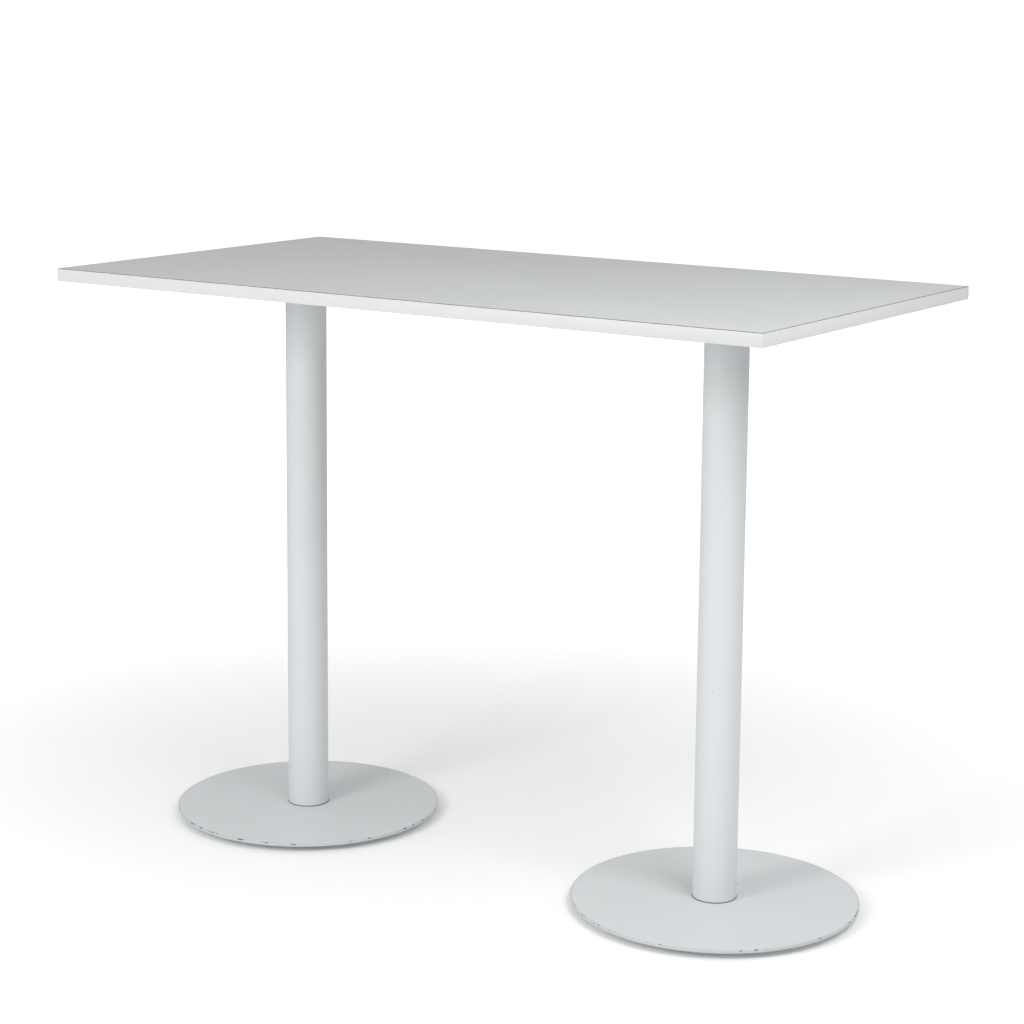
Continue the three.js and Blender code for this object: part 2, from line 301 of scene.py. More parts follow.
class Finish:
    """A new material with a Principled shader, and the places that its patterns read."""

    def __init__(self, name):
        self.material = bpy.data.materials.new(name)
        self.material.use_nodes = True
        self.tree = self.material.node_tree
        self.shader = self.tree.nodes["Principled BSDF"]
        self.start = Wire(self.tree)
        self.place = self.start.node("ShaderNodeTexCoord", output="Object")

    def axis(self, name):
        """One of the object coordinates X, Y and Z."""
        return self.start.node("ShaderNodeSeparateXYZ", inputs={0: self.place}, output=name)

    def attribute(self, name):
        return self.start.node("ShaderNodeAttribute", {"attribute_name": name}, output="Fac")

    def noise(self, scale, detail=2.0, roughness=0.5, stretch=None):
        """Noise with scale features in a metre, times stretch along each axis."""
        where = self.place
        if stretch:
            where = self.start.node("ShaderNodeMapping", inputs={"Vector": where, "Scale": stretch})
        sockets = {"Vector": where, "Scale": scale, "Detail": detail, "Roughness": roughness}
        return self.start.node("ShaderNodeTexNoise", inputs=sockets)

    def specks(self, scale, radius):
        """1 inside dots of that radius, in some of the cells of a pattern with scale cells in a metre."""
        sockets = {"Vector": self.place, "Scale": scale, "Randomness": 1.0}
        apart = self.start.node("ShaderNodeTexVoronoi", inputs=sockets, output="Distance")
        dots = 1 - (apart / scale).step(radius * 0.5, radius)
        return dots * self.noise(scale * 0.37, detail=0.0).step(0.52, 0.56)

    def bump(self, height, strength, distance):
        sockets = {"Height": height, "Strength": strength, "Distance": distance}
        return self.start.node("ShaderNodeBump", inputs=sockets)

    def done(self, constants=None, **wires):
        """Links what varies to the shader, and sets the rest on its own sockets."""
        names = {"colour": "Base Color", "rough": "Roughness", "normal": "Normal"}
        for key, wire in wires.items():
            self.tree.links.new(wire.socket, self.shader.inputs[names[key]])
        for key, value in (constants or {}).items():
            self.shader.inputs[key].default_value = value


def finish(make):
    """The material that a finish function paints, made on its first use and named after it."""
    known = bpy.data.materials.get(make.__name__)
    if known:
        return known
    paint = Finish(make.__name__)
    make(paint)
    return paint.material


def tint_of(name):
    """A colour of the finish settings, as plain numbers."""
    return tuple(getattr(bpy.context.scene.table_finish, name))


# Finishes


def laminate_face(paint):
    """Satin white laminate: a faint mottle, sparse dirt specks, soft smears and a fine pearl texture."""
    cloud = paint.noise(2.2, detail=3.0) * 0.7 + paint.noise(26.0) * 0.3
    specks = paint.specks(scale=18.0, radius=1.1 * MM) * 0.5
    smears = paint.noise(7.0, detail=5.0, stretch=(0.6, 2.5, 1.0)).step(0.62, 0.78) * 0.05
    clean = cloud.shade(tint_of("laminate"), 0.025)
    dirty = (specks + smears).blend(clean, tint_of("grime"))
    rough = 0.40 + paint.noise(14.0, detail=4.0) * 0.12
    pearl = paint.bump(paint.noise(1400.0, detail=1.0), strength=0.10, distance=0.08 * MM)
    paint.done({"IOR": 1.48}, colour=dirty, rough=rough, normal=pearl)


def laminate_core(paint):
    """Brown paper core of the laminate, worn pale in short dashes along the edge."""
    dashes = paint.noise(95.0, detail=3.0, roughness=0.6).step(0.50, 0.66)
    worn = (dashes * 0.5).blend(tint_of("core"), tint_of("worn_core"))
    paint.done(colour=worn, rough=0.62 + paint.noise(300.0) * 0.2)


def edge_band_white(paint):
    """White plastic band: drag marks, dirt in its lower arris and at the corner seams, a few dark nicks."""
    low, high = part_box("front_edge_band")
    z = paint.axis("Z")
    drag = paint.noise(60.0, detail=3.0, stretch=(0.08, 0.08, 3.0))
    clean = drag.shade(tint_of("band"), 0.012)
    arris = 1 - (z - low.z).step(0.2 * MM, 1.1 * MM)
    lower = arris * paint.noise(70.0, detail=4.0, roughness=0.65).step(0.54, 0.70) * 0.75
    under_laminate = (z - high.z).step(-1.2 * MM, 0.0)
    upper = under_laminate * paint.noise(120.0, detail=3.0).step(0.55, 0.70) * 0.35
    corner = paint.axis("X").near(high.x, 0.9 * MM) * paint.axis("Y").near(low.y, 3.0 * MM)
    seam = corner * paint.noise(420.0, detail=2.0).step(0.58, 0.66) * 0.8
    nicks = paint.specks(scale=40.0, radius=1.0 * MM) * 0.7
    dirty = (lower + upper + seam + nicks).blend(clean, tint_of("grime"))
    grooves = paint.bump(drag, strength=0.12, distance=0.1 * MM)
    paint.done({"IOR": 1.46}, colour=dirty, rough=0.36 + drag * 0.12, normal=grooves)


def white_powder_coat(paint):
    """Satin powder coat: orange peel, specks, and the chips and the rims' dirt and painted shade that its
    attributes call for.
    """
    cloud = paint.noise(5.0, detail=3.0)
    wear = paint.attribute("wear")
    # The rim attribute blends the paint towards that blue grey: dirt and painted shade on the disc rims
    clean = (paint.attribute("soil") * 0.4).blend(cloud.shade(tint_of("paint"), 0.018), tint_of("soil"))
    specks = paint.specks(scale=30.0, radius=1.2 * MM) * 0.75
    flakes = paint.noise(110.0, detail=3.0, roughness=0.6, stretch=(1.0, 1.0, 3.0))
    torn = flakes * 0.7 + paint.noise(520.0) * 0.3
    chips = (wear * 0.55 + torn).step(0.93, 0.98)
    worn = (specks + chips * 0.9).blend(clean, tint_of("chip"))
    relief = paint.noise(620.0, detail=1.5) - chips * 2.0
    peel = paint.bump(relief, strength=0.14, distance=0.12 * MM)
    paint.done({"IOR": 1.5}, colour=worn, rough=0.42 + cloud * 0.1 + chips * 0.25, normal=peel)


def black_rubber(paint):
    """Rubber ring, dusty in places."""
    dust = paint.noise(160.0, detail=4.0).step(0.48, 0.72)
    dusty = (dust * 0.5).blend(tint_of("rubber"), tint_of("dust"))
    paint.done(colour=dusty, rough=0.7 + dust * 0.2)


def zinc_plate(paint):
    """Zinc plating: a cloudy grey sheen with fine turning marks."""
    cloud = paint.noise(220.0, detail=4.0)
    turning = paint.noise(900.0, stretch=(1.0, 1.0, 6.0))
    marks = paint.bump(turning, strength=0.12, distance=0.08 * MM)
    sheen = cloud.shade(tint_of("zinc"), 0.12)
    paint.done({"Metallic": 1.0}, colour=sheen, rough=0.28 + cloud * 0.25, normal=marks)


def grey_nylon(paint):
    """Moulded nylon: a fine matt grain, scuffed paler."""
    scuffs = paint.noise(180.0, detail=5.0, roughness=0.65).step(0.5, 0.75)
    grain = paint.bump(paint.noise(2200.0, detail=1.0), strength=0.2, distance=0.1 * MM)
    shade = (scuffs * 0.4).blend(tint_of("nylon"), tint_of("scuffed_nylon"))
    paint.done(colour=shade, rough=0.55 + scuffs * 0.2, normal=grain)


def chipboard_raw(paint):
    """Chipboard: flakes of light and dark wood."""
    sockets = {"Vector": paint.place, "Scale": 420.0}
    flakes = paint.start.node("ShaderNodeTexVoronoi", inputs=sockets, output="Distance")
    relief = paint.bump(flakes, strength=0.3, distance=0.3 * MM)
    paint.done(colour=flakes.shade(tint_of("chipboard"), 0.35), rough=0.8 + flakes * 0.15, normal=relief)


def backing_matt(paint):
    """Matt backing laminate with a faint sanded grain."""
    grain = paint.noise(240.0, detail=4.0, stretch=(0.05, 1.0, 1.0))
    both = grain * 0.4 + paint.noise(4.0, detail=3.0) * 0.6
    relief = paint.bump(grain, strength=0.12, distance=0.1 * MM)
    paint.done(colour=both.shade(tint_of("backing"), 0.04), rough=0.6 + grain * 0.15, normal=relief)


# Surfaces


def grid_faces(rows, columns, closed):
    """Quads of a grid that wraps round its columns, and round its rows too where closed."""
    row = np.arange(rows if closed else rows - 1)[:, None]
    column = np.arange(columns)[None, :]
    beside = (column + 1) % columns
    here = row * columns
    above = (row + 1) % rows * columns
    corners = (here + column, here + beside, above + beside, above + column)
    return np.stack(np.broadcast_arrays(*corners), -1).reshape(-1, 4)


def add_piece(name, points, finishes, closed=False, caps=(True, True), layers=None, row_material=None):
    """A mesh from points[row, column]: rows run up the outside, columns run anticlockwise seen from above.

    Closed rows wrap round, and open ones get a flat face over the first and the last ring where caps says so.
    Layers are attributes that the finishes read, with a value for each point.
    """
    rows, columns = points.shape[:2]
    quads = grid_faces(rows, columns, closed)
    faces = quads.tolist()
    ring = np.arange(columns)
    if caps[0] and not closed:
        faces.append(ring[::-1].tolist())
    if caps[1] and not closed:
        faces.append((ring + (rows - 1) * columns).tolist())
    mesh = bpy.data.meshes.new(name)
    mesh.from_pydata(points.reshape(-1, 3).tolist(), [], faces)
    mesh.polygons.foreach_set("use_smooth", np.arange(len(faces)) < len(quads))
    mesh.set_sharp_from_angle(angle=SHARP_ANGLE)
    for make in finishes:
        mesh.materials.append(finish(make))
    if row_material is not None:
        index = np.zeros(len(faces), np.int32)
        index[: len(quads)] = np.repeat(row_material, columns)
        mesh.polygons.foreach_set("material_index", index)
    for key, values in (layers or {}).items():
        layer = mesh.attributes.new(key, "FLOAT", "POINT")
        layer.data.foreach_set("value", np.ascontiguousarray(values, np.float32).ravel())
    mesh.update()
    piece = bpy.data.objects.new(name, mesh)
    bpy.context.scene.collection.objects.link(piece)
    return piece


def join_frame(piece, body, node):
    """Ties a piece to its CAD body, and hides the CAD node that it stands for."""
    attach(piece, body)
    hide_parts(node)


def arc(centre, radius, start, stop, steps=5):
    """Points of a circle's arc about centre, from start to stop in quarter turns."""
    angle = np.linspace(start, stop, steps + 1) * (math.pi / 2)
    return np.stack([centre[0] + radius * np.cos(angle), centre[1] + radius * np.sin(angle)], -1)


def full_turn(facets):
    return np.arange(facets) * (2 * math.pi / facets)


def turned(profile, angles, place, outline=np.inf):
    """Surface of revolution: radius and height from the profile, with the radius held inside outline."""
    profile = np.asarray(profile, float)
    radius = np.minimum(np.repeat(profile[:, :1], len(angles), 1), outline)
    height = np.repeat(profile[:, 1:], len(angles), 1)
    x = place[0] + radius * np.cos(angles)
    y = place[1] + radius * np.sin(angles)
    return np.stack([x, y, place[2] + height], -1)


def hexagon_outline(angles, flats):
    """Distance from a hexagon's middle to its side: half its flats over the cosine from the nearest flat."""
    off_flat = (angles + math.pi / 6) % (math.pi / 3) - math.pi / 6
    return flats / 2 / np.cos(off_flat)


def rounded_slab(low, high, corner, profile):
    """Box with rounded corners: a rounded rectangle, drawn in by the profile's inset at each height."""
    middle = (np.array(low) + np.array(high)) / 2
    half = (np.array(high) - np.array(low)) / 2
    quarter = np.linspace(0, math.pi / 2, 7)
    angle = np.concatenate([quarter + turn * math.pi / 2 for turn in range(4)])
    sign_x = np.repeat([1, -1, -1, 1], len(quarter))
    sign_y = np.repeat([1, 1, -1, -1], len(quarter))
    radius = corner - profile[:, :1]
    x = middle[0] + sign_x * (half[0] - corner) + radius * np.cos(angle)
    y = middle[1] + sign_y * (half[1] - corner) + radius * np.sin(angle)
    z = np.repeat(profile[:, 1:], len(angle), 1)
    return np.stack([x, y, z], -1)


def eased_edges(low, high, lower_radius, upper_radius, steps=4):
    """Profile of insets up an upright side, with a quarter round at its lower and upper edge."""
    lower = arc((lower_radius, low + lower_radius), lower_radius, 3, 2, steps)
    upper = arc((upper_radius, high - upper_radius), upper_radius, 2, 1, steps)
    return np.concatenate([lower, upper])


def stand_of(node):
    """Lowest height of a CAD node, its height, its middle in plan, and its lesser width."""
    low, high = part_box(node)
    centre = np.array([low.x + high.x, low.y + high.y]) / 2
    return low.z, high.z - low.z, centre, min(high.x - low.x, high.y - low.y)


def rim_wear(angles, stretches):
    """Wear round a rim: the greatest of a bell curve over each chipped stretch."""
    centre, half, depth = np.array(stretches, float).T
    apart = (np.degrees(angles)[:, None] - centre + 180) % 360 - 180
    return (depth * np.exp(-((apart / half) ** 2))).max(1)


# Pieces


class TABLE_OT_top_laminate(bpy.types.Operator):
    """Make the top laminate: a thin rounded slab, white above, with its brown core round the edge"""

    bl_idname = "table.top_laminate"
    bl_label = "Top laminate"

    def execute(self, context):
        shape = context.scene.table_shape
        low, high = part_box("top_laminate")
        upper_arris = shape.laminate_arris
        lower_arris = 0.3 * upper_arris
        profile = eased_edges(low.z, high.z, lower_arris, upper_arris)
        points = rounded_slab(low, high, shape.top_corner, profile)
        rows = len(profile) - 1
        white_rows = 2
        core_rows = np.arange(rows) < rows - white_rows
        piece = add_piece("worktop_laminate", points, [laminate_face, laminate_core], row_material=core_rows)
        join_frame(piece, "table", "top_laminate")
        return {"FINISHED"}


class TABLE_OT_edge_bands(bpy.types.Operator):
    """Make the four edge bands, each with its own eased edges, so that a seam shows at each corner"""

    bl_idname = "table.edge_bands"
    bl_label = "Edge bands"

    def execute(self, context):
        lower_arris = context.scene.table_shape.band_arris
        upper_arris = 0.4 * lower_arris
        corner = 1.2 * lower_arris
        for side in ("front", "rear", "left", "right"):
            node = f"{side}_edge_band"
            low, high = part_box(node)
            profile = eased_edges(low.z, high.z, lower_arris, upper_arris)
            points = rounded_slab(low, high, corner, profile)
            piece = add_piece(f"{side}_band", points, [edge_band_white])
            join_frame(piece, "table", node)
        return {"FINISHED"}


class TABLE_OT_columns(bpy.types.Operator):
    """Make both column tubes: an eased foot, a straight wall and a weld bead, turned about the axis"""

    bl_idname = "table.columns"
    bl_label = "Columns"

    def execute(self, context):
        shape = context.scene.table_shape
        leg = shape.weld_leg
        ease = shape.column_ease
        angles = full_turn(shape.facets)
        for side in SIDES:
            node = f"{side}_column_tube"
            low, tall, centre, width = stand_of(node)
            outer = width / 2
            bore = outer - shape.column_wall
            foot = arc((outer - ease, ease), ease, -1, 0)
            height, reach, direction, half = SCUFFS[side]
            scuff_rings = np.linspace(height - reach, height + reach, SCUFF_RINGS)
            wall = np.concatenate([[3 * ease], scuff_rings, [tall / 2, tall - 2 * leg]])
            wall = np.stack([np.full_like(wall, outer), wall], -1)
            bead = arc((outer + leg, tall - leg), leg, 2, 1, 6)
            end = np.array([[bore, tall], [bore, tall - MM], [bore, MM], [bore, 0.0]])
            profile = np.concatenate([foot, wall, bead, end])
            points = turned(profile, angles, (*centre, low))
            rise = np.exp(-(((profile[:, 1:] - height) / (SCUFF_FADE * reach)) ** 2))
            turn = np.exp(-(((angles - direction) / half) ** 2))
            layers = {"wear": SCUFF_DEPTH * rise * turn}
            piece = add_piece(f"{side}_column", points, [white_powder_coat], closed=True, layers=layers)
            join_frame(piece, "table", node)
        return {"FINISHED"}


class TABLE_OT_discs(bpy.types.Operator):
    """Make both base discs: a flat profile with eased rims, turned, with a pocket below over each stem"""

    bl_idname = "table.discs"
    bl_label = "Base discs"

    def execute(self, context):
        shape = context.scene.table_shape
        ease = shape.disc_ease
        hole = shape.bolt_hole / 2
        for side in SIDES:
            node = f"{side}_base_disc"
            low, thick, centre, width = stand_of(node)
            edge = width / 2 - ease
            feet = np.array([stand_of(f"{side}_level_stem_{foot}")[2] for foot in FEET])
            out = feet - centre
            reach = np.hypot(out[:, 0], out[:, 1]).mean()
            beside = POCKET_GRID * shape.stem_pocket / reach
            crowd = (np.arctan2(out[:, 1], out[:, 0])[:, None] + beside).ravel() % (2 * math.pi)
            angles = np.unique(np.round(np.concatenate([full_turn(shape.disc_facets), crowd]), 6))
            across = reach + POCKET_GRID * shape.stem_pocket
            under = np.concatenate([[hole, hole + MM], across, [edge - ease]])
            under = np.stack([under, np.zeros_like(under)], -1)
            wall = [arc((edge, ease), ease, -1, 0), arc((edge, thick - ease), ease, 0, 1)]
            upper = np.array([edge - CHIP_INSET, 0.9 * edge, 0.25 * edge, hole + MM, hole])
            upper = np.stack([upper, np.full_like(upper, thick)], -1)
            profile = np.concatenate([under, *wall, upper])
            points = turned(profile, angles, (*centre, low))
            apart = np.hypot(points[..., 0, None] - feet[:, 0], points[..., 1, None] - feet[:, 1]).min(-1)
            pocket = (apart < shape.stem_pocket) & (profile[:, 1:] == 0.0)
            points[..., 2] += pocket * POCKET_DEPTH
            rim = np.clip((profile[:, :1] - edge) / CHIP_INSET + 1, 0, 1)
            crest = np.exp(-(((thick - profile[:, 1:]) / CHIP_REACH) ** 2))
            wear = rim * (RIM_WEAR + (1 - RIM_WEAR) * crest * rim_wear(angles, CHIPPED_RIM[side]))
            # The rim mask also carries the dirt and painted shade along each disc's rim
            layers = {"wear": wear, "soil": np.repeat(rim, len(angles), 1)}
            piece = add_piece(f"{side}_disc", points, [white_powder_coat], closed=True, layers=layers)
            join_frame(piece, "table", node)
        return {"FINISHED"}


class TABLE_OT_gaskets(bpy.types.Operator):
    """Make the rings under the columns: a half-round lip, flat above and below, turned about the axis"""

    bl_idname = "table.gaskets"
    bl_label = "Gaskets"

    def execute(self, context):
        shape = context.scene.table_shape
        for side in SIDES:
            node = f"{side}_foot_gasket"
            low, thick, centre, width = stand_of(node)
            lip = arc((width / 2 - thick / 2, thick / 2), thick / 2, -1, 1, 8)
            bore = np.array([[shape.gasket_bore / 2, thick], [shape.gasket_bore / 2, 0.0]])
            points = turned(np.concatenate([lip, bore]), full_turn(shape.facets), (*centre, low))
            piece = add_piece(f"{side}_gasket", points, [black_rubber], closed=True)
            join_frame(piece, "table", node)
        return {"FINISHED"}


class TABLE_OT_plates(bpy.types.Operator):
    """Make the plates under the worktop: rounded squares with eased edges"""

    bl_idname = "table.plates"
    bl_label = "Plates"

    def execute(self, context):
        shape = context.scene.table_shape
        for side in SIDES:
            node = f"{side}_top_plate"
            low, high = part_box(node)
            profile = eased_edges(low.z, high.z, shape.plate_ease, shape.plate_ease)
            points = rounded_slab(low, high, shape.plate_corner, profile)
            piece = add_piece(f"{side}_plate", points, [white_powder_coat])
            join_frame(piece, "table", node)
        return {"FINISHED"}


class TABLE_OT_plate_screws(bpy.types.Operator):
    """Make the wood screws, heads down: a domed head and a tapered shank, turned about the axis.

    The cross recess lifts the head's face where a point lies within half a slot's width of either axis.
    """

    bl_idname = "table.plate_screws"
    bl_label = "Plate screws"

    def execute(self, context):
        angles = full_turn(SMALL_FACETS)
        head_deep, shank, point, tip = 3 * MM, 2.5 * MM, 4 * MM, 0.15 * MM
        dome_rings, dome_rise, brim_ease = np.linspace(0.05, 0.86, 18), 0.8 * MM, 0.7 * MM
        slot_half, slot_arm, slot_deep, slot_taper = 0.55 * MM, 2.6 * MM, 1.3 * MM, 0.6
        face_deep = 0.7 * MM
        for side in SIDES:
            for number in PLATE_SCREWS:
                node = f"{side}_plate_screw_{number}"
                low, tall, centre, width = stand_of(node)
                head = width / 2
                dome = np.stack([head * dome_rings, dome_rise * dome_rings**2], -1)
                brim = arc((head - brim_ease, 2 * brim_ease), brim_ease, -0.55, 0, 3)
                stem = [[head, head_deep], [shank, head_deep], [shank, tall - point], [tip, tall]]
                points = turned(np.concatenate([dome, brim, stem]), angles, (*centre, low))
                off = np.abs(points[..., :2] - centre)
                arm = np.hypot(off[..., 0], off[..., 1])
                slot = (off.min(-1) < slot_half) & (arm < slot_arm) & (points[..., 2] < low + face_deep)
                points[..., 2] += slot * slot_deep * (1 - slot_taper * arm / slot_arm)
                piece = add_piece(f"{side}_screw_{number}", points, [zinc_plate])
                join_frame(piece, "table", node)
        return {"FINISHED"}


class TABLE_OT_base_bolts(bpy.types.Operator):
    """Make the bolts under the discs, with hexagon heads, and their washers, all turned about the axis"""

    bl_idname = "table.base_bolts"
    bl_label = "Base bolts"

    def execute(self, context):
        angles = full_turn(SMALL_FACETS)
        head, shank, point, ease = 6 * MM, 6 * MM, 1 * MM, 0.4 * MM
        for side in SIDES:
            node = f"{side}_base_bolt"
            low, tall, centre, flats = stand_of(node)
            corner = flats / math.sqrt(3)
            chamfer = CHAMFER_START * flats
            lower = [[chamfer, 0.0], [corner, 0.5 * (corner - chamfer)], [corner, head]]
            upper = [[shank, head], [shank, tall - point], [shank - point, tall]]
            points = turned([*lower, *upper], angles, (*centre, low), hexagon_outline(angles, flats))
            piece = add_piece(f"{side}_bolt", points, [zinc_plate])
            join_frame(piece, "table", node)

            node = f"{side}_base_washer"
            low, thick, centre, width = stand_of(node)
            bore = context.scene.table_shape.bolt_hole / 2
            lower = arc((width / 2 - ease, ease), ease, -1, 0, 3)
            upper = arc((width / 2 - ease, thick - ease), ease, 0, 1, 3)
            inner = [[bore, thick], [bore, 0.0]]
            points = turned(np.concatenate([lower, upper, inner]), angles, (*centre, low))
            piece = add_piece(f"{side}_washer", points, [zinc_plate], closed=True)
            join_frame(piece, "table", node)
        return {"FINISHED"}


class TABLE_OT_level_nuts(bpy.types.Operator):
    """Make the nuts of the levelling feet: a chamfered profile, turned and held inside a hexagon"""

    bl_idname = "table.level_nuts"
    bl_label = "Level nuts"

    def execute(self, context):
        angles = full_turn(SMALL_FACETS)
        bore, ease, chamfer_rise = 4.3 * MM, 0.3 * MM, 0.7 * MM
        for side in SIDES:
            for number in FEET:
                node = f"{side}_level_nut_{number}"
                low, tall, centre, flats = stand_of(node)
                corner = flats / math.sqrt(3)
                chamfer = CHAMFER_START * flats
                lower = [[bore, ease], [bore + ease, 0.0], [chamfer, 0.0], [corner, chamfer_rise]]
                upper = [[corner, tall], [bore, tall]]
                points = turned([*lower, *upper], angles, (*centre, low), hexagon_outline(angles, flats))
                piece = add_piece(f"{side}_nut_{number}", points, [white_powder_coat], closed=True)
                join_frame(piece, "table", node)
        return {"FINISHED"}


class TABLE_OT_level_stems(bpy.types.Operator):
    """Make the stems of the levelling feet: a flat head, a neck, a hexagon and a threaded shank, turned.

    The thread is a saw of rings: the radius falls and rises by the thread's depth once in each pitch.
    """

    bl_idname = "table.level_stems"
    bl_label = "Level stems"

    def execute(self, context):
        angles = full_turn(SMALL_FACETS)
        pitch, depth, shank, neck, flats = 1.25 * MM, 0.45 * MM, 4 * MM, 3.5 * MM, 11 * MM
        head_tall, hex_tall, hex_gap = 1.5 * MM, 2.5 * MM, 0.3 * MM
        ease, run_in, run_out = 0.3 * MM, 0.4 * MM, 0.6 * MM
        corner = flats / math.sqrt(3)
        six = hexagon_outline(angles, flats)
        for side in SIDES:
            for number in FEET:
                node = f"{side}_level_stem_{number}"
                low, tall, centre, width = stand_of(node)
                pad_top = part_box(f"{side}_level_pad_{number}")[1].z - low
                hex_low = pad_top + hex_gap
                hex_high = hex_low + hex_tall
                rim = width / 2
                head = [[rim - ease, 0.0], [rim, ease], [rim, head_tall], [neck, head_tall]]
                grip = [[neck, hex_low], [corner, hex_low], [corner, hex_high], [neck, hex_high]]
                height = np.arange(hex_high + run_in, tall - run_out, pitch / 2)
                radius = np.where(np.arange(len(height)) % 2, shank - depth, shank)
                end = [[shank - depth, tall - ease], [shank - 2 * depth, tall]]
                profile = np.concatenate([head, grip, np.stack([radius, height], -1), end])
                outline = np.where(profile[:, :1] == corner, six, np.inf)
                points = turned(profile, angles, (*centre, low), outline)
                piece = add_piece(f"{side}_foot_stem_{number}", points, [zinc_plate])
                join_frame(piece, f"{side}_stem_{number}", node)
        return {"FINISHED"}


class TABLE_OT_level_pads(bpy.types.Operator):
    """Make the pads of the levelling feet: a rounded profile with a pocket for the stem's head, turned"""

    bl_idname = "table.level_pads"
    bl_label = "Level pads"

    def execute(self, context):
        angles = full_turn(PAD_FACETS)
        floor, pocket, ceiling, mouth = 1.5 * MM, 6.8 * MM, 3.6 * MM, 3.8 * MM
        lower_ease, upper_ease, mouth_ease, middle = 0.7 * MM, 1.1 * MM, 0.3 * MM, 0.5 * MM
        for side in SIDES:
            for number in FEET:
                node = f"{side}_level_pad_{number}"
                low, tall, centre, width = stand_of(node)
                outer = width / 2
                sole = [[middle, 0.0], [outer - 3 * lower_ease, 0.0]]
                lower = arc((outer - lower_ease, lower_ease), lower_ease, -1, 0, 4)
                upper = arc((outer - upper_ease, tall - upper_ease), upper_ease, 0, 1, 5)
                top = [[outer - 2 * upper_ease, tall], [mouth + mouth_ease, tall], [mouth, tall - mouth_ease]]
                inside = [[mouth, ceiling], [pocket, ceiling], [pocket, floor], [middle, floor]]
                points = turned(np.concatenate([sole, lower, upper, top, inside]), angles, (*centre, low))
                piece = add_piece(f"{side}_foot_pad_{number}", points, [grey_nylon])
                join_frame(piece, f"{side}_pad_{number}", node)
        return {"FINISHED"}


class TABLE_OT_kept_nodes(bpy.types.Operator):
    """Give the CAD nodes that stay their finish: board core, backing and the plugs inside the columns"""

    bl_idname = "table.kept_nodes"
    bl_label = "Kept nodes"

    def execute(self, context):
        kept = {"core_board": chipboard_raw, "backing_laminate": backing_matt}
        kept.update({f"{side}_foot_plug": zinc_plate for side in SIDES})
        for node, make in kept.items():
            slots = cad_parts[node].data.materials
            slots.clear()
            slots.append(finish(make))
        return {"FINISHED"}


# Stage


def add_camera(stage):
    """A camera turned by yaw from +Y, tilted down by pitch and rolled about its own line of sight."""
    level = Vector((math.cos(stage.yaw), math.sin(stage.yaw), 0.0))
    ahead = Vector((-math.sin(stage.yaw), math.cos(stage.yaw), 0.0))
    forward = math.cos(stage.pitch) * ahead - math.sin(stage.pitch) * Vector((0.0, 0.0, 1.0))
    upright = level.cross(forward)
    right = math.cos(stage.roll) * level + math.sin(stage.roll) * upright
    up = math.cos(stage.roll) * upright - math.sin(stage.roll) * level
    camera = bpy.data.objects.new("camera", bpy.data.cameras.new("camera"))
    camera.data.sensor_width = SENSOR_WIDTH
    camera.data.lens = stage.lens
    camera.data.shift_y = stage.shift
    camera.data.clip_end = FAR_CLIP
    camera.data.dof.use_dof = False
    turn = Matrix((right, up, -forward)).transposed()
    camera.matrix_world = Matrix.Translation(stage.eye) @ turn.to_4x4()
    bpy.context.scene.collection.objects.link(camera)
    bpy.context.scene.camera = camera


def add_softbox(name, place, target, size, power):
    """A square area light at place, turned to shine on target, that the camera doesn't see."""
    light = bpy.data.lights.new(name, "AREA")
    light.shape = "SQUARE"
    light.size = size
    light.energy = power
    lamp = bpy.data.objects.new(name, light)
    lamp.visible_camera = False
    lamp.location = place
    lamp.rotation_euler = (Vector(target) - Vector(place)).to_track_quat("-Z", "Y").to_euler()
    bpy.context.scene.collection.objects.link(lamp)


def add_floor():
    """A wide round floor that curves up at its far edge, and a sheet over it, both turned from one profile.

    The sheet whitens the floor for the camera alone.
    """
    reach, bend, middle, apart = 60.0, 29.0, 0.5, 0.3 * MM
    curve = arc((reach, bend), bend, 0, -1, 12)
    flat = [[0.5 * reach, 0.0], [0.1 * reach, 0.0], [middle, 0.0]]
    profile = np.concatenate([curve, flat])
    angles = full_turn(FLOOR_FACETS)
    lower = turned(profile, angles, (0, 0, -apart))
    upper = turned(profile, angles, (0, 0, 0))
    floor = add_piece("studio_floor", lower, [studio_floor], caps=(False, True))
    sheet = add_piece("floor_whitener", upper, [floor_white], caps=(False, True))
    sheet.visible_diffuse = False
    sheet.visible_glossy = False
    sheet.visible_transmission = False
    sheet.visible_shadow = False


def clear_below(paint, surface):
    """Links a surface to the output, and makes it clear where it is seen from below."""
    below = paint.start.node("ShaderNodeNewGeometry", output="Backfacing")
    clear = paint.start.node("ShaderNodeBsdfTransparent")
    mixed = paint.start.node("ShaderNodeMixShader", inputs={0: below, 1: surface, 2: clear})
    paint.tree.links.new(mixed.socket, paint.tree.nodes["Material Output"].inputs["Surface"])


def far_from_table(paint):
    """0 on the near floor and 1 on the far floor, by the distance from the table's middle."""
    stage = bpy.context.scene.table_stage
    out = paint.start.node("ShaderNodeVectorMath", {"operation": "LENGTH"}, {0: paint.place}, output="Value")
    return out.step(stage.near_end, stage.far_start)


def studio_floor(paint):
    """Pale matt floor, faintly clouded, a little darker away from the table."""
    stage = bpy.context.scene.table_stage
    cloud = paint.noise(0.7)
    near = cloud.shade(tuple(stage.floor), 0.01)
    shade = far_from_table(paint).blend(near, tuple(stage.far_floor))
    paint.done(colour=shade, rough=0.75 + cloud * 0.1)
    clear_below(paint, Wire(paint.tree, paint.shader.outputs[0]))


def floor_white(paint):
    """A clear sheet that adds white light, more of it on the far floor."""
    stage = bpy.context.scene.table_stage
    near = (stage.near_glow,) * 3
    white = far_from_table(paint).blend(near, (1.0, 1.0, 1.0))
    light = paint.start.node("ShaderNodeEmission", inputs={"Color": white, "Strength": stage.floor_glow})
    clear = paint.start.node("ShaderNodeBsdfTransparent")
    clear_below(paint, paint.start.node("ShaderNodeAddShader", inputs={0: light, 1: clear}))


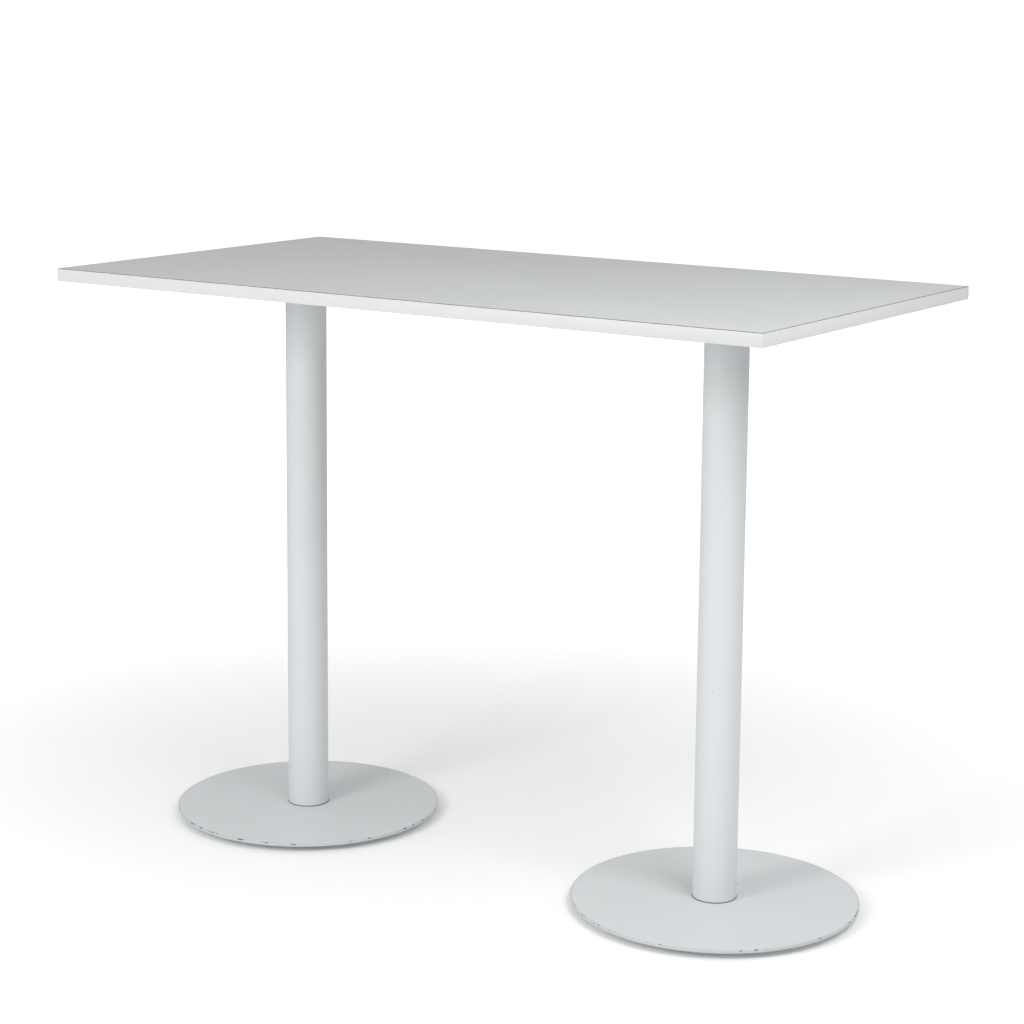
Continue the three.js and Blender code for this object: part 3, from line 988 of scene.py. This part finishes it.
class TABLE_OT_stage(bpy.types.Operator):
    """Make the camera, the seamless floor and the studio light"""

    bl_idname = "table.stage"
    bl_label = "Stage"

    def execute(self, context):
        stage = context.scene.table_stage
        add_camera(stage)
        add_floor()
        world = bpy.data.worlds.new("studio")
        world.use_nodes = True
        sky = world.node_tree.nodes["Background"].inputs
        sky["Color"].default_value = (1.0, 1.0, 1.0, 1.0)
        sky["Strength"].default_value = stage.sky
        context.scene.world = world
        context.scene.view_settings.view_transform = "Standard"
        add_softbox("key_softbox", stage.key_place, stage.aim, stage.key_width, stage.key)
        add_softbox("fill_softbox", stage.fill_place, stage.aim, stage.fill_width, stage.fill)
        return {"FINISHED"}


class TABLE_PT_sidebar(bpy.types.Panel):
    """Lists the table's pieces and settings in the 3D view's sidebar"""

    bl_label = "Standing table"
    bl_idname = "TABLE_PT_sidebar"
    bl_space_type = "VIEW_3D"
    bl_region_type = "UI"
    bl_category = "Table"

    def draw(self, context):
        for made in OPERATORS:
            self.layout.operator(made.bl_idname)
        for key, group in GROUPS.items():
            box = self.layout.box()
            for setting in group.__annotations__:
                box.prop(getattr(context.scene, key), setting)


OPERATORS = (
    TABLE_OT_top_laminate,
    TABLE_OT_edge_bands,
    TABLE_OT_columns,
    TABLE_OT_discs,
    TABLE_OT_gaskets,
    TABLE_OT_plates,
    TABLE_OT_plate_screws,
    TABLE_OT_base_bolts,
    TABLE_OT_level_nuts,
    TABLE_OT_level_stems,
    TABLE_OT_level_pads,
    TABLE_OT_kept_nodes,
    TABLE_OT_stage,
)
GROUPS = {"table_shape": TableShape, "table_finish": TableFinish, "table_stage": TableStage}


def register():
    for made in (*GROUPS.values(), *OPERATORS, TABLE_PT_sidebar):
        bpy.utils.register_class(made)
    for key, group in GROUPS.items():
        setattr(bpy.types.Scene, key, PointerProperty(type=group))


def unregister():
    for key in GROUPS:
        delattr(bpy.types.Scene, key)
    for made in (TABLE_PT_sidebar, *reversed(OPERATORS), *GROUPS.values()):
        bpy.utils.unregister_class(made)


def main():
    register()
    bpy.ops.table.top_laminate()
    bpy.ops.table.edge_bands()
    bpy.ops.table.columns()
    bpy.ops.table.discs()
    bpy.ops.table.gaskets()
    bpy.ops.table.plates()
    bpy.ops.table.plate_screws()
    bpy.ops.table.base_bolts()
    bpy.ops.table.level_nuts()
    bpy.ops.table.level_stems()
    bpy.ops.table.level_pads()
    bpy.ops.table.kept_nodes()
    bpy.ops.table.stage()


if __name__ == "__main__":
    main()
